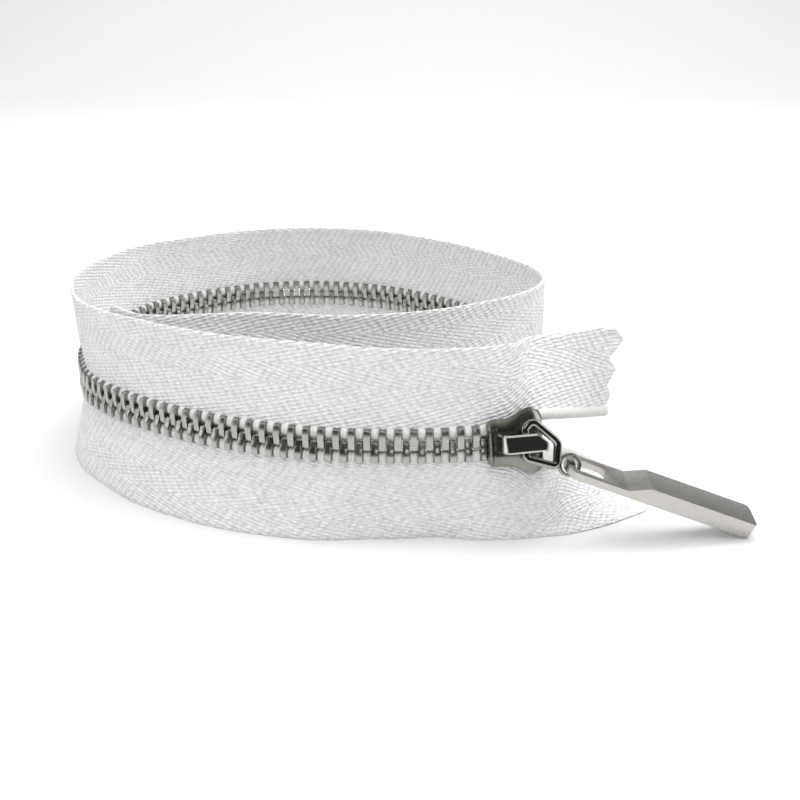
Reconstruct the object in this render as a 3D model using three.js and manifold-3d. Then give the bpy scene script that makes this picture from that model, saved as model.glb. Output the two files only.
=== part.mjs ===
// A closed-end metal zipper, standing on one tape edge and bent into an open loop.
// Millimetres, +Z up. The origin is under the middle of the object, on the surface it stands on.
//
// The chain runs along a plan curve. s is the arc length along it: 0 at the slider's middle, positive
// towards the bottom stop. v is measured across the tapes (up is positive) and w through the
// thickness, positive on the outside of the loop.
import * as THREE from 'three';
import { mergeVertices } from 'three/addons/utils/BufferGeometryUtils.js';
import Module from 'manifold-3d';

const wasm = await Module();
wasm.setup();

// ---------------------------------------------------------------- driving dimensions
const PITCH = 2.54;            // tooth to tooth in one row
const HEIGHT = 33;             // over both tapes, edge to edge
const TAPE_T = 0.7;            // tape thickness at the selvage
const TAPE_V0 = 2.9;           // where each tape's woven edge meets its row
const ROW_OUT = 2.6;           // outer side of a row, from the chain's middle
const ROW_SPINE = 1.4;         // inner side of the corded bead
const ROW_TIP = -0.6;          // how far a tooth head reaches past the middle
const TOOTH_T = 0.9;           // tooth thickness along the chain
const ROW_W = 1.45;            // half the tooth width through the chain
const ARC_R = 78;              // front stretch of the loop, along which the slider runs
const ARC = [2, 244.9];        // its centre
const SLIDER_DEG = 12.65;        // where the slider stands on that arc
const SHIFT = [3.426, -214.877];  // brings the object's base centre to the origin
const TEETH = 134;             // teeth in one row
const END_TEETH = 26;          // of those, the ones on the stretch that opens
const SEGMENT = 9;             // teeth on one row segment

const BODY_L = 9.4;            // slider body length
const BLADE_OUT = 2.6;         // outer face of each slider blade
const BLADE_IN = 1.75;         // inner face
const SLOT_W = 0.8;            // half of the tape slot between the flanges
const CROWN_IN = 4.85;          // underside of the crown
const CROWN_OUT = 5.75;         // its outer face
const RING_U = 0.55;           // where the pull ring passes under the crown
const RING_W = 3.75;           // height of the ring's bar over the chain's middle plane
const BAND = 1.3;              // ring band, in its plane and through it
const EYE = [7.4, -4.3];       // centre of the ring's small eye, from the bar
const EYE_IN = 1.45, EYE_OUT = 2.05, EYE_D = 1.0;

const PULL_L = 34.6, PULL_WIDE = 5.7, PULL_T = 3.05, HEAD_T = 1.3;
const SLOT_L = 6.2, SLOT_WIDE = 3.5, END_BAR = 1.5;
const PULL_AZ = 5.2;           // degrees: plan direction of the puller from its head to its tip,
const PULL_SLOPE = 22.05;      // its fall, so that the tip lies on the ground,
const PULL_ROLL = 12;          // and its turn about its own length

// ---------------------------------------------------------------- plan curve
const rad = THREE.MathUtils.degToRad;
const onArc = (deg) => [ARC[0] + ARC_R * Math.sin(rad(deg)), ARC[1] - ARC_R * Math.cos(rad(deg))];
const REST = [[-58.4, 196.5], [-61.3, 203.7], [-63.2, 211], [-64, 218.5], [-63.4, 228.4], [-61, 238],
  [-56.8, 246.7], [-50.3, 253.6], [-42.5, 259.7], [-33.9, 264.2], [-24, 265.8], [-13.9, 265.1],
  [-4.5, 261.9], [4.2, 256.2], [11.5, 249.6], [18.2, 241.5], [23.9, 232.3], [27.9, 223.5], [28.8, 215.8],
  [26.7, 208.5], [22.9, 203], [18.6, 198.9], [13.5, 195.4], [7.7, 192.1], [1.5, 189.7], [-5, 188.2], [-12, 187.9],
  [-19, 188.9], [-26.6, 189.7], [-34.9, 188.6], [-41, 187.9], [-46.3, 188.5], [-50.1, 191.6], [-53, 195.2]];
const track = [];
for (let a = 20; a >= -46.001; a -= 0.5) track.push([...onArc(a), ARC_R * rad(SLIDER_DEG - a)]);
{
  const pts = [onArc(-42), onArc(-46), ...REST].map((p) => new THREE.Vector3(p[0], p[1], 0));
  const c = new THREE.CatmullRomCurve3(pts, false, 'centripetal');
  const n = 2400;
  let last = track.at(-1), s = last[2];
  for (let i = Math.ceil(n / (pts.length - 1)) + 1; i <= n; i++) {
    const p = c.getPoint(i / n);
    const d = Math.hypot(p.x - last[0], p.y - last[1]);
    if (d < 0.35 && i < n) continue;
    s += d;
    last = [p.x, p.y, s];
    track.push(last);
  }
}
const LENGTH = track.at(-1)[2];
function plan(s) {
  let lo = 0, hi = track.length - 1;
  while (hi - lo > 1) { const m = (lo + hi) >> 1; if (track[m][2] <= s) lo = m; else hi = m; }
  const a = track[lo], b = track[hi], t = (s - a[2]) / (b[2] - a[2]);
  return [a[0] + (b[0] - a[0]) * t, a[1] + (b[1] - a[1]) * t];
}
// degrees of lean towards the inside of the loop: upper tape, chain, lower tape; then the chain's height
const LEAN = [[-4.6, 19, 16, 10, 16.9], [0, 10, 16, 9, 16.9], [4.6, 5.5, 16, 7, 16.9], [14, 5, 7, 0, 16.8], [21, 6, 5, 2.4, 16.7], [37, 11, 8, 10.6, 16.5],
  [52, 8, 9, 13, 16.5], [68, 6.3, 8, 12.6, 16.5], [80, 2.5, 5, 9.5, 16.5], [96, -4, 0, 12, 16.5], [108, -6, -2, 9, 16.5],
  [132, -2, 0, 4, 16.5], [151, 5, 3, 3, 16.5], [180, 7, 5, 4, 16.5], [211, 5, 4, 3, 16.5], [242, 2, 2, 1, 16.5],
  [259, 0, 0, 0, 16.5], [400, 0, 0, 0, 16.5]];
function lean(s) {
  let i = 0;
  while (i < LEAN.length - 2 && LEAN[i + 1][0] < s) i++;
  const a = LEAN[i], b = LEAN[i + 1];
  let t = THREE.MathUtils.clamp((s - a[0]) / (b[0] - a[0]), 0, 1);
  t = t * t * (3 - 2 * t);
  return [1, 2, 3, 4].map((k) => a[k] + (b[k] - a[k]) * t);
}
function frame(s) {
  const h = 1.2, p0 = plan(s - h), p1 = plan(s + h), p = plan(s);
  const l = Math.hypot(p1[0] - p0[0], p1[1] - p0[1]);
  const t = [(p1[0] - p0[0]) / l, (p1[1] - p0[1]) / l];
  const [up, mid, low, z] = lean(s);
  const inward = new THREE.Vector3(t[1], -t[0], 0);
  const across = inward.clone().multiplyScalar(Math.sin(rad(mid))).add(new THREE.Vector3(0, 0, Math.cos(rad(mid))));
  const out = inward.clone().multiplyScalar(-Math.cos(rad(mid))).add(new THREE.Vector3(0, 0, Math.sin(rad(mid))));
  return { c: new THREE.Vector3(p[0], p[1], z), t: new THREE.Vector3(t[0], t[1], 0), inward, across, out, up, low };
}
// how far each row has been led away from the middle, inside the slider and past it
function spread(s) {
  const t = THREE.MathUtils.clamp((1.6 - s) / 5.2, 0, 1);
  return 1.9 * t * t * (3 - 2 * t);
}
function at(s, v, w, side) {
  const f = frame(s);
  return f.c.clone().addScaledVector(f.across, side * (v + spread(s))).addScaledVector(f.out, w);
}

// ---------------------------------------------------------------- helpers
const group = new THREE.Group();
const shifted = new THREE.Group();
shifted.position.set(SHIFT[0], SHIFT[1], 0);
group.add(shifted);

function add(parent, name, geometry, colour, roughness, metalness) {
  const g = geometry.index ? geometry.toNonIndexed() : geometry;
  g.computeVertexNormals();
  const m = new THREE.Mesh(g, new THREE.MeshStandardMaterial({ color: colour, roughness, metalness }));
  m.name = name;
  parent.add(m);
  return m;
}
const tape = (name, g) => add(shifted, name, g, 0xf2f2f0, 0.9, 0);
const teeth = (name, g) => add(shifted, name, g, 0xb9b8b0, 0.3, 1);
const nickel = (parent, name, g) => add(parent, name, g, 0xa9a8a2, 0.18, 1);

function closed(positions, triangles) {
  const p = new Float32Array(triangles.length * 3);
  let volume = 0;
  for (let i = 0; i < triangles.length; i += 3) {
    const [a, b, c] = [positions[triangles[i]], positions[triangles[i + 1]], positions[triangles[i + 2]]];
    volume += a.clone().cross(b).dot(c);
  }
  for (let i = 0; i < triangles.length; i += 3) {
    const tri = volume > 0 ? [0, 1, 2] : [0, 2, 1];
    tri.forEach((k, j) => positions[triangles[i + k]].toArray(p, (i + j) * 3));
  }
  const g = new THREE.BufferGeometry();
  g.setAttribute('position', new THREE.BufferAttribute(p, 3));
  return g;
}
// a strip between two edges, each a list of [point, point] pairs through the thickness
function strip(inner, outer) {
  const pos = [], tri = [];
  inner.forEach((p, i) => pos.push(p[0], p[1], outer[i][1], outer[i][0]));
  const quad = (a, b, c, d) => tri.push(a, b, c, a, c, d);
  for (let i = 0; i + 1 < inner.length; i++) {
    for (let k = 0; k < 4; k++) {
      const l = (k + 1) % 4, a = i * 4, b = a + 4;
      quad(a + k, a + l, b + l, b + k);
    }
  }
  const e = (inner.length - 1) * 4;
  quad(3, 2, 1, 0);
  quad(e, e + 1, e + 2, e + 3);
  return closed(pos, tri);
}
function solid(geometry) {
  const g = geometry.clone();
  g.deleteAttribute('normal');
  g.deleteAttribute('uv');
  const m = mergeVertices(g, 1e-4);
  return new wasm.Manifold(new wasm.Mesh({
    numProp: 3, vertProperties: new Float32Array(m.attributes.position.array), triVerts: new Uint32Array(m.index.array),
  }));
}
function geometryOf(manifold) {
  const mesh = manifold.getMesh();
  const g = new THREE.BufferGeometry();
  g.setAttribute('position', new THREE.BufferAttribute(new Float32Array(mesh.vertProperties), 3));
  g.setIndex(new THREE.BufferAttribute(new Uint32Array(mesh.triVerts), 1));
  return g;
}
function shape(points, holes = []) {
  const outline = points.map((p) => new THREE.Vector2(p[0], p[1]));
  if (THREE.ShapeUtils.isClockWise(outline)) outline.reverse();
  const s = new THREE.Shape(outline);
  holes.forEach((h) => s.holes.push(new THREE.Path(h.map((p) => new THREE.Vector2(p[0], p[1])))));
  return s;
}
// an outline in u, v extruded from w0 to w1
function plate(points, w0, w1, holes) {
  const g = new THREE.ExtrudeGeometry(shape(points, holes), { depth: w1 - w0, bevelEnabled: false });
  g.translate(0, 0, w0);
  return g;
}
function box(u0, u1, v0, v1, w0, w1) {
  const g = new THREE.BoxGeometry(u1 - u0, v1 - v0, w1 - w0);
  g.translate((u0 + u1) / 2, (v0 + v1) / 2, (w0 + w1) / 2);
  return g;
}

// ---------------------------------------------------------------- tapes
// Past the slider each tape leaves the loop: pairs of bead edge and outer edge, one pair per station.
const UPPER_END = [[[27.8, 174.2, 20.7], [27.9, 177.7, HEIGHT]], [[32, 177.9, 19.4], [32, 179.3, HEIGHT]],
  [[36, 180.5, 18.7], [36.5, 180.8, HEIGHT]]];
const LOWER_END = [[[27.2, 174.6, 11.4], [28.2, 167.7, 0]], [[31, 179, 8.9], [31.8, 169.1, 0]],
  [[35, 183.4, 5.8], [36, 171.2, 0]], [[38.6, 187.2, 3], [40.2, 174, 0]], [[41.4, 189.4, 1.7], [43.4, 176.3, 0]]];
function edges(s, side) {
  const f = frame(s);
  const z = f.c.z, a = side > 0 ? f.up : f.low, h = side > 0 ? HEIGHT - z : -z;
  const outer = new THREE.Vector3(f.c.x, f.c.y, 0).addScaledVector(f.inward, Math.tan(rad(a)) * h);
  outer.z = side > 0 ? HEIGHT : 0;
  return [at(s, TAPE_V0, 0, side), outer];
}
function tapeSolid(s0, s1, side, free) {
  const pairs = [];
  const n = Math.round((s1 - s0) / 4.3);
  for (let i = 0; i <= n; i++) pairs.push(edges(s0 + (s1 - s0) * i / n, side));
  if (free) (side > 0 ? UPPER_END : LOWER_END).forEach((p) => pairs.unshift(p.map((q) => new THREE.Vector3(...q))));
  const inner = [], outer = [];
  pairs.forEach(([a, b], i) => {
    const p = pairs[Math.max(i - 1, 0)], q = pairs[Math.min(i + 1, pairs.length - 1)];
    const t = q[0].clone().add(q[1]).sub(p[0]).sub(p[1]);
    const n = t.cross(b.clone().sub(a)).normalize().multiplyScalar(TAPE_T / 2);
    const m = new THREE.Vector3(n.x, n.y, 0).normalize().multiplyScalar(TAPE_T / 2);
    inner.push([a.clone().add(n), a.clone().sub(n)]);
    outer.push([b.clone().add(m), b.clone().sub(m)]);
  });
  return strip(inner, outer);
}
const SPLIT = END_TEETH * PITCH;
tape('upper_tape_top_end', tapeSolid(-4.4, SPLIT - 0.15, 1, true));
tape('lower_tape_top_end', tapeSolid(-4.4, SPLIT - 0.15, -1, true));
tape('upper_tape', tapeSolid(SPLIT + 0.15, LENGTH - 0.1, 1, false));
tape('lower_tape', tapeSolid(SPLIT + 0.15, LENGTH - 0.1, -1, false));

// ---------------------------------------------------------------- tooth rows
// One segment is a stretch of corded bead with its metal teeth, led along the curve tooth by tooth.
function rowSegment(k0, k1, side) {
  const s = (k) => (side > 0 ? 1.71 : 0.44) + PITCH * k;
  const h = TOOTH_T / 2, pos = [], tri = [];
  const point = (a, v) => { pos.push(at(a, v, -ROW_W, side), at(a, v, ROW_W, side)); return pos.length - 2; };
  const tooth = [];
  for (let k = k0; k <= k1; k++) {
    tooth.push([[s(k) - h, ROW_OUT], [s(k) - h, ROW_SPINE], [s(k) + h, ROW_SPINE], [s(k) + h, ROW_TIP], [s(k) - h, ROW_TIP]].map((q) => point(...q)));
  }
  const end = s(k1) + PITCH - h - 0.3;
  tooth.push([point(end, ROW_OUT), point(end, ROW_SPINE)]);
  const cap = (a, b, c) => tri.push(a, b, c, a + 1, c + 1, b + 1);
  const wall = (p, q) => tri.push(p, p + 1, q + 1, p, q + 1, q);
  for (let i = 0; i + 1 < tooth.length; i++) {
    const [A, B, C, D, E] = tooth[i], [A1, B1] = tooth[i + 1];
    cap(A, A1, B1); cap(A, B1, C); cap(A, C, B); cap(B, C, D); cap(B, D, E);
    wall(A, A1); wall(B1, C); wall(C, D); wall(D, E); wall(E, B);
  }
  const [A, B] = tooth[0], [F, G] = tooth.at(-1);
  wall(B, A); wall(F, G);
  return closed(pos, tri);
}
const two = (n) => String(n).padStart(2, '0');
for (const [word, side] of [['upper', 1], ['lower', -1]]) {
  let n = 1;
  for (let k = 0; k < TEETH; n++) {
    const stop = k < END_TEETH ? END_TEETH : TEETH;
    const to = Math.min(k + SEGMENT, stop) - 1;
    teeth(`${word}_teeth_${two(n)}`, rowSegment(k, to, side));
    k = to + 1;
  }
}
// metal stops: one at the top of each row, and one across both rows at the bottom
function stop(s0, s1, v0, v1, side) {
  const g = box(s0, s1, v0, v1, -1.35, 1.35);
  const flat = g.toNonIndexed(), p = flat.attributes.position, pos = [], tri = [];
  for (let i = 0; i < p.count; i++) {
    const f = frame(p.getX(i)), v = p.getY(i);
    pos.push(f.c.clone().addScaledVector(f.across, side * v).addScaledVector(f.out, p.getZ(i)));
    tri.push(i);
  }
  return closed(pos, tri);
}
teeth('upper_top_stop', stop(-2.7, -0.5, 1.2, 3.3, 1));
teeth('lower_top_stop', stop(-2.7, -0.5, 1.2, 3.3, -1));
const CHAIN_END = 0.44 + PITCH * TEETH;
teeth('bottom_stop', stop(CHAIN_END + 0.9, CHAIN_END + 3.8, -2.5, 2.5, 1));

// ---------------------------------------------------------------- slider
const slider = new THREE.Group();
{
  const f = frame(0);
  const u = f.t.clone().negate();
  const out = new THREE.Vector3().crossVectors(u, f.across);
  slider.quaternion.setFromRotationMatrix(new THREE.Matrix4().makeBasis(u, f.across, out));
  slider.position.copy(f.c);
}
shifted.add(slider);
{
  const H = 4.2, T = BODY_L - H;      // wide end and narrow end, from the ring's side of the middle
  const half = [[-T, 3.4], [-T + 0.5, 3.9], [-1.9, 3.95], [0.1, 4.7], [1.7, 5.5], [2.4, 5.6], [H, 4.7], [H, 1.6], [H - 0.5, 0]];
  const mirror = (p) => [...p, ...p.slice(0, -1).reverse().map((q) => [q[0], -q[1]])];
  let body = solid(plate(mirror(half), -BLADE_OUT, BLADE_OUT));
  const yard = [[-T - 1, 3.1], [-2.1, 3.1], [0.2, 4.1], [1.7, 4.65], [H + 1, 4.95], [H + 1, -4.95], [1.7, -4.65], [0.2, -4.1], [-2.1, -3.1], [-T - 1, -3.1]];
  const divider = [[0.0, 0], [0.9, 0.9], [3.2, 0.9], [3.2, -0.9], [0.9, -0.9]];
  body = body.subtract(solid(plate(yard, -BLADE_IN, BLADE_IN, [divider])));
  body = body.subtract(solid(box(-T - 1, H + 1, 2.6, 8, -SLOT_W, SLOT_W)));
  body = body.subtract(solid(box(-T - 1, H + 1, -8, -2.6, -SLOT_W, SLOT_W)));
  body = body.subtract(solid(box(-2.0, -0.9, -0.6, 0.6, 0, BLADE_OUT + 1)));       // the lock's window
  nickel(slider, 'slider_body', geometryOf(body));
}
{
  // crown: a flat bar on two feet, which keeps the ring and covers the lock
  // its nose is cut back on one side, so that the ring's slanting side clears it
  let crown = solid(plate([[-3.6, -1.4], [-3.3, -1.55], [3.8, -1.55], [4.15, -1.2], [4.15, -0.25], [3.45, 0.45], [2.4, 1.4], [2.1, 1.55], [-3.3, 1.55], [-3.6, 1.4]], CROWN_IN, CROWN_OUT));
  crown = crown.add(solid(box(-3.55, -2.6, -1.4, 1.4, BLADE_OUT + 0.2, CROWN_IN + 0.3)));
  crown = crown.add(solid(box(2.3, 3.1, -0.8, 0.8, BLADE_OUT + 0.2, CROWN_IN + 0.3)));
  nickel(slider, 'crown', geometryOf(crown));
}
{
  const pin = solid(box(-1.75, -1.15, -0.3, 0.3, 1.8, 4.0)).add(solid(box(-2.2, -0.7, -0.8, 0.8, 3.6, 4.1)));
  nickel(slider, 'lock_pin', geometryOf(pin));
  nickel(slider, 'lock_spring', box(-2.3, -0.6, -0.9, 0.9, 4.5, 4.7));
}
// pull ring: a flat rounded three-cornered loop with a small eye at its corner
function rounded(points, r, steps = 3) {
  const out = [];
  points.forEach((p, i) => {
    const a = points[(i + points.length - 1) % points.length], b = points[(i + 1) % points.length];
    const da = new THREE.Vector2(a[0] - p[0], a[1] - p[1]).normalize(), db = new THREE.Vector2(b[0] - p[0], b[1] - p[1]).normalize();
    const half = Math.acos(THREE.MathUtils.clamp(da.dot(db), -1, 1)) / 2, rr = Array.isArray(r) ? r[i] : r;
    const d = rr / Math.tan(half), c = da.clone().add(db).normalize().multiplyScalar(rr / Math.sin(half)).add(new THREE.Vector2(...p));
    const p0 = da.multiplyScalar(d).add(new THREE.Vector2(...p)), p1 = db.multiplyScalar(d).add(new THREE.Vector2(...p));
    let a0 = Math.atan2(p0.y - c.y, p0.x - c.x), a1 = Math.atan2(p1.y - c.y, p1.x - c.x);
    while (a1 - a0 > Math.PI) a1 -= 2 * Math.PI;
    while (a1 - a0 < -Math.PI) a1 += 2 * Math.PI;
    for (let k = 0; k <= steps; k++) out.push([c.x + rr * Math.cos(a0 + (a1 - a0) * k / steps), c.y + rr * Math.sin(a0 + (a1 - a0) * k / steps)]);
  });
  return out;
}
function offset(points, d) {
  return points.map((p, i) => {
    const a = points[(i + points.length - 1) % points.length], b = points[(i + 1) % points.length];
    const n1 = new THREE.Vector2(p[1] - a[1], a[0] - p[0]).normalize(), n2 = new THREE.Vector2(b[1] - p[1], p[0] - b[0]).normalize();
    const m = n1.clone().add(n2).normalize(), k = d / m.dot(n1);
    return [p[0] + m.x * k, p[1] + m.y * k];
  });
}
const circle = (c, r, n) => Array.from({ length: n }, (_, i) => [c[0] + r * Math.cos(2 * Math.PI * i / n), c[1] + r * Math.sin(2 * Math.PI * i / n)]);
{
  const loop = [[0, -2.6], [5.2, -4.4], [5.6, -0.4], [1.3, 3.6], [0, 2.3]];        // counter-clockwise centre line
  const outer = rounded(offset(loop, BAND / 2), [1.1, 0.9, 1.2, 1.1, 1.1]);
  const inner = rounded(offset(loop, -BAND / 2), [0.4, 0.3, 0.5, 0.3, 0.4]);
  let ring = solid(plate(outer, RING_W - BAND / 2, RING_W + BAND / 2, [inner.reverse()]));
  ring = ring.add(solid(plate(circle(EYE, EYE_OUT, 18), RING_W - EYE_D / 2, RING_W + EYE_D / 2)));
  ring = ring.subtract(solid(plate(circle(EYE, EYE_IN, 18), 0, 9)));
  const g = geometryOf(ring);
  g.translate(RING_U, 0, 0);
  nickel(slider, 'pull_ring', g);
}
// puller: a flat head with a slot, rising on a short ramp to a thicker bar; x runs from the head's end bar to the tip
const puller = new THREE.Group();
{
  const f = frame(0), u = f.t.clone().negate(), out = new THREE.Vector3().crossVectors(u, f.across);
  const pivot = f.c.clone().addScaledVector(u, RING_U + EYE[0]).addScaledVector(f.across, EYE[1]).addScaledVector(out, RING_W);
  const run = PULL_L - END_BAR / 2;
  const az = rad(PULL_AZ), slope = rad(PULL_SLOPE);
  const d = new THREE.Vector3(Math.cos(az) * Math.cos(slope), Math.sin(az) * Math.cos(slope), -Math.sin(slope));
  const level = new THREE.Vector3(-Math.sin(az), Math.cos(az), 0);
  const side = level.applyAxisAngle(d, rad(PULL_ROLL));
  const top = new THREE.Vector3().crossVectors(d, side);
  puller.quaternion.setFromRotationMatrix(new THREE.Matrix4().makeBasis(d, side, top));
  puller.position.copy(pivot);
  shifted.add(puller);
  const W = PULL_WIDE / 2, e = END_BAR / 2;
  // side profile in x and height, with the end bar centred on the pivot
  const profile = [[-e, -HEAD_T / 2], [run, -HEAD_T / 2], [run, PULL_T - HEAD_T / 2], [13.6, PULL_T - HEAD_T / 2], [10.2, HEAD_T / 2], [-e, HEAD_T / 2]];
  const side3 = new THREE.ExtrudeGeometry(shape(profile), { depth: 2 * W, bevelEnabled: false });
  side3.rotateX(Math.PI / 2);
  side3.translate(0, W, 0);
  let bar = solid(side3);
  const outline = rounded([[-e, -W], [run, -W], [run, W], [-e, W]], [2.4, 0.6, 0.9, 2.4], 4);
  bar = bar.intersect(solid(plate(outline, -5, 5)));
  const hole = rounded([[e, -SLOT_WIDE / 2], [e + SLOT_L, -SLOT_WIDE / 2], [e + SLOT_L, SLOT_WIDE / 2], [e, SLOT_WIDE / 2]], [0.5, 1.5, 1.5, 0.5], 3);
  bar = bar.subtract(solid(plate(hole, -5, 5)));
  nickel(puller, 'puller', geometryOf(bar));
}

export default group;
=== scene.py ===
# A closed-end metal zipper bent into an open loop, standing on one tape edge.
import bpy
import bmesh
import math
import numpy as np
from mathutils import Matrix, Vector

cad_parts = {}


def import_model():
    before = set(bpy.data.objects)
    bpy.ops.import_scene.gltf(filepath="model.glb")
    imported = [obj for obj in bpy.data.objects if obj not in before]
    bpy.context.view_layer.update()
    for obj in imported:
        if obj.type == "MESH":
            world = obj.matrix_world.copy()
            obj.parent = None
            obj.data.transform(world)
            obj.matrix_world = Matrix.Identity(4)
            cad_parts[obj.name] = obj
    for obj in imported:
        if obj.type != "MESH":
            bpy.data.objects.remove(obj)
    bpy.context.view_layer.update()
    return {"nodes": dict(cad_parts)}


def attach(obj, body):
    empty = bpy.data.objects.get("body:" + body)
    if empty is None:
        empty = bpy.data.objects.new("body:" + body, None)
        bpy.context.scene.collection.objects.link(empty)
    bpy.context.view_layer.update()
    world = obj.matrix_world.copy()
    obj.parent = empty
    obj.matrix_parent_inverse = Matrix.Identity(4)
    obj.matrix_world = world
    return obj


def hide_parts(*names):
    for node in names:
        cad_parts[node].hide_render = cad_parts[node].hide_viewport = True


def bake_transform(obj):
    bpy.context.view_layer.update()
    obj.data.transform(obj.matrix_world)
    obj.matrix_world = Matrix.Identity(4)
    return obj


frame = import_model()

rng = np.random.default_rng(7)
scene = bpy.context.scene
MM = 0.001

# ------------------------------------------------------------------ the CAD's driving dimensions, in mm
PITCH, HEIGHT, TAPE_V0 = 2.54, 33.0, 2.9
ARC_R, ARC, SLIDER_DEG = 78.0, (2.0, 244.9), 12.65
SHIFT = np.array([3.426, -214.877, 0.0])
TEETH, END_TEETH = 134, 26
SPLIT = END_TEETH * PITCH
CHAIN_END = 0.44 + PITCH * TEETH
RING_U, RING_W, EYE = 0.55, 3.75, (7.4, -4.3)
PULL_AZ, PULL_SLOPE, PULL_ROLL = 5.2, 22.05, 12.0
REST = [(-58.4, 196.5), (-61.3, 203.7), (-63.2, 211), (-64, 218.5), (-63.4, 228.4), (-61, 238),
        (-56.8, 246.7), (-50.3, 253.6), (-42.5, 259.7), (-33.9, 264.2), (-24, 265.8), (-13.9, 265.1),
        (-4.5, 261.9), (4.2, 256.2), (11.5, 249.6), (18.2, 241.5), (23.9, 232.3), (27.9, 223.5), (28.8, 215.8),
        (26.7, 208.5), (22.9, 203), (18.6, 198.9), (13.5, 195.4), (7.7, 192.1), (1.5, 189.7), (-5, 188.2),
        (-12, 187.9), (-19, 188.9), (-26.6, 189.7), (-34.9, 188.6), (-41, 187.9), (-46.3, 188.5),
        (-50.1, 191.6), (-53, 195.2)]
LEAN = [(-4.6, 19, 16, 10, 16.9), (0, 10, 16, 9, 16.9), (4.6, 5.5, 16, 7, 16.9), (14, 5, 7, 0, 16.8),
        (21, 6, 5, 2.4, 16.7), (37, 11, 8, 10.6, 16.5), (52, 8, 9, 13, 16.5), (68, 6.3, 8, 12.6, 16.5),
        (80, 2.5, 5, 9.5, 16.5), (96, -4, 0, 12, 16.5), (108, -6, -2, 9, 16.5), (132, -2, 0, 4, 16.5),
        (151, 5, 3, 3, 16.5), (180, 7, 5, 4, 16.5), (211, 5, 4, 3, 16.5), (242, 2, 2, 1, 16.5),
        (259, 0, 0, 0, 16.5), (400, 0, 0, 0, 16.5)]
UPPER_END = [((27.8, 174.2, 20.7), (27.9, 177.7, HEIGHT)), ((32, 177.9, 19.4), (32, 179.3, HEIGHT)),
             ((36, 180.5, 18.7), (36.5, 180.8, HEIGHT))]
LOWER_END = [((27.2, 174.6, 11.4), (28.2, 167.7, 0)), ((31, 179, 8.9), (31.8, 169.1, 0)),
             ((35, 183.4, 5.8), (36, 171.2, 0)), ((38.6, 187.2, 3), (40.2, 174, 0)), ((41.4, 189.4, 1.7), (43.4, 176.3, 0))]


def smooth(t):
    t = np.clip(t, 0.0, 1.0)
    return t * t * (3 - 2 * t)


def on_arc(deg):
    return (ARC[0] + ARC_R * math.sin(math.radians(deg)), ARC[1] - ARC_R * math.cos(math.radians(deg)))


def catmull(points, u):
    """Centripetal Catmull-Rom through points, as three.js draws it, at u from 0 to 1."""
    p = (len(points) - 1) * u
    i = min(int(math.floor(p)), len(points) - 2)
    w = p - i
    P = [np.array(q, float) for q in points]
    p0 = P[i - 1] if i > 0 else 2 * P[0] - P[1]
    p1, p2 = P[i], P[i + 1]
    p3 = P[i + 2] if i + 2 < len(P) else 2 * P[-1] - P[-2]
    d0, d1, d2 = (max(np.sum((a - b) ** 2) ** 0.25, 1e-4) for a, b in ((p0, p1), (p1, p2), (p2, p3)))
    t1 = ((p1 - p0) / d0 - (p2 - p0) / (d0 + d1) + (p2 - p1) / d1) * d1
    t2 = ((p2 - p1) / d1 - (p3 - p1) / (d1 + d2) + (p3 - p2) / d2) * d1
    return p1 + t1 * w + (-3 * p1 + 3 * p2 - 2 * t1 - t2) * w ** 2 + (2 * p1 - 2 * p2 + t1 + t2) * w ** 3


def build_track():
    track = []
    a = 20.0
    while a >= -46.001:
        track.append((*on_arc(a), ARC_R * math.radians(SLIDER_DEG - a)))
        a -= 0.5
    pts = [on_arc(-42), on_arc(-46)] + REST
    n = 2400
    last = track[-1]
    s = last[2]
    for i in range(math.ceil(n / (len(pts) - 1)) + 1, n + 1):
        q = catmull(pts, i / n)
        d = math.hypot(q[0] - last[0], q[1] - last[1])
        if d < 0.35 and i < n:
            continue
        s += d
        last = (q[0], q[1], s)
        track.append(last)
    return np.array(track)


TRACK = build_track()
LENGTH = float(TRACK[-1, 2])
LEAN_T = np.array(LEAN, float)


def plan(s):
    return np.stack([np.interp(s, TRACK[:, 2], TRACK[:, 0]), np.interp(s, TRACK[:, 2], TRACK[:, 1])], -1)


def lean(s):
    i = np.clip(np.searchsorted(LEAN_T[:, 0], s, side="left") - 1, 0, len(LEAN_T) - 2)
    a, b = LEAN_T[i], LEAN_T[i + 1]
    t = smooth((s - a[..., 0]) / (b[..., 0] - a[..., 0]))
    return tuple(a[..., k] + (b[..., k] - a[..., k]) * t for k in (1, 2, 3, 4))


def frames(s):
    s = np.asarray(s, float)
    h = 1.2
    # past the track's end the end tangent goes on straight
    sc = np.minimum(s, LENGTH - h)
    sc = np.maximum(sc, TRACK[0, 2] + h)
    p0, p1 = plan(sc - h), plan(sc + h)
    t = (p1 - p0) / np.linalg.norm(p1 - p0, axis=-1, keepdims=True)
    p = plan(np.clip(s, TRACK[0, 2], LENGTH)) + t * (s - np.clip(s, TRACK[0, 2], LENGTH))[..., None]
    up, mid, low, z = lean(s)
    c = np.concatenate([p, z[..., None]], -1)
    t3 = np.concatenate([t, np.zeros_like(z)[..., None]], -1)
    inward = np.stack([t[..., 1], -t[..., 0], np.zeros_like(z)], -1)
    m = np.radians(mid)[..., None]
    zz = np.zeros_like(inward)
    zz[..., 2] = 1
    across = inward * np.sin(m) + zz * np.cos(m)
    out = -inward * np.cos(m) + zz * np.sin(m)
    return c, t3, inward, across, out, up, low


def spread(s):
    return 1.9 * smooth((1.6 - np.asarray(s, float)) / 5.2)


def at(s, v, w, side):
    c, t, inward, across, out, up, low = frames(s)
    v = np.asarray(v, float) + spread(s)
    return c + across * (side * v)[..., None] + out * np.asarray(w, float)[..., None]


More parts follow.
